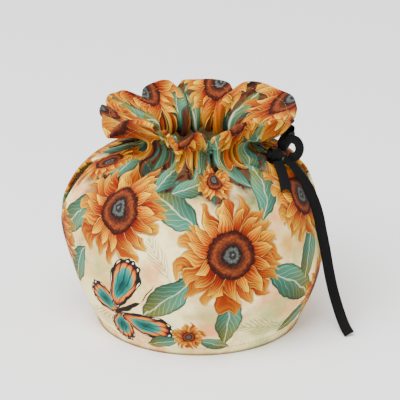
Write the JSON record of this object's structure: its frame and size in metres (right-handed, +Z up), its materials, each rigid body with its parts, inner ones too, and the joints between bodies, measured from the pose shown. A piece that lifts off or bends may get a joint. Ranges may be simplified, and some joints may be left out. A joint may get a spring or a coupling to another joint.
{
  "type": "tea cosy",
  "caption": "Drawstring tea cosy of printed cloth, hollow, with a gathered neck, a standing ruffle, side slits for spout and handle, and a black ribbon bow.",
  "frame": {"origin": "on the table plane, under the middle of the outline of the cloth", "axes": "+Z up out of the neck, -Y the front panel, -X the spout's slit, +X the handle's slit and the bow"},
  "size_m": [0.2106, 0.1798, 0.1635],
  "materials": {
    "printed_cloth": "matt",
    "black_ribbon": "matt"
  },
  "bodies": {
    "root": {"front_panel": "printed_cloth", "back_panel": "printed_cloth", "tie_drawstring_end": "black_ribbon", "tie_knot": "black_ribbon", "tie_loop_front": "black_ribbon", "tie_loop_back": "black_ribbon", "tie_tail_short": "black_ribbon", "tie_tail_long": "black_ribbon"}
  },
  "joints": []
}
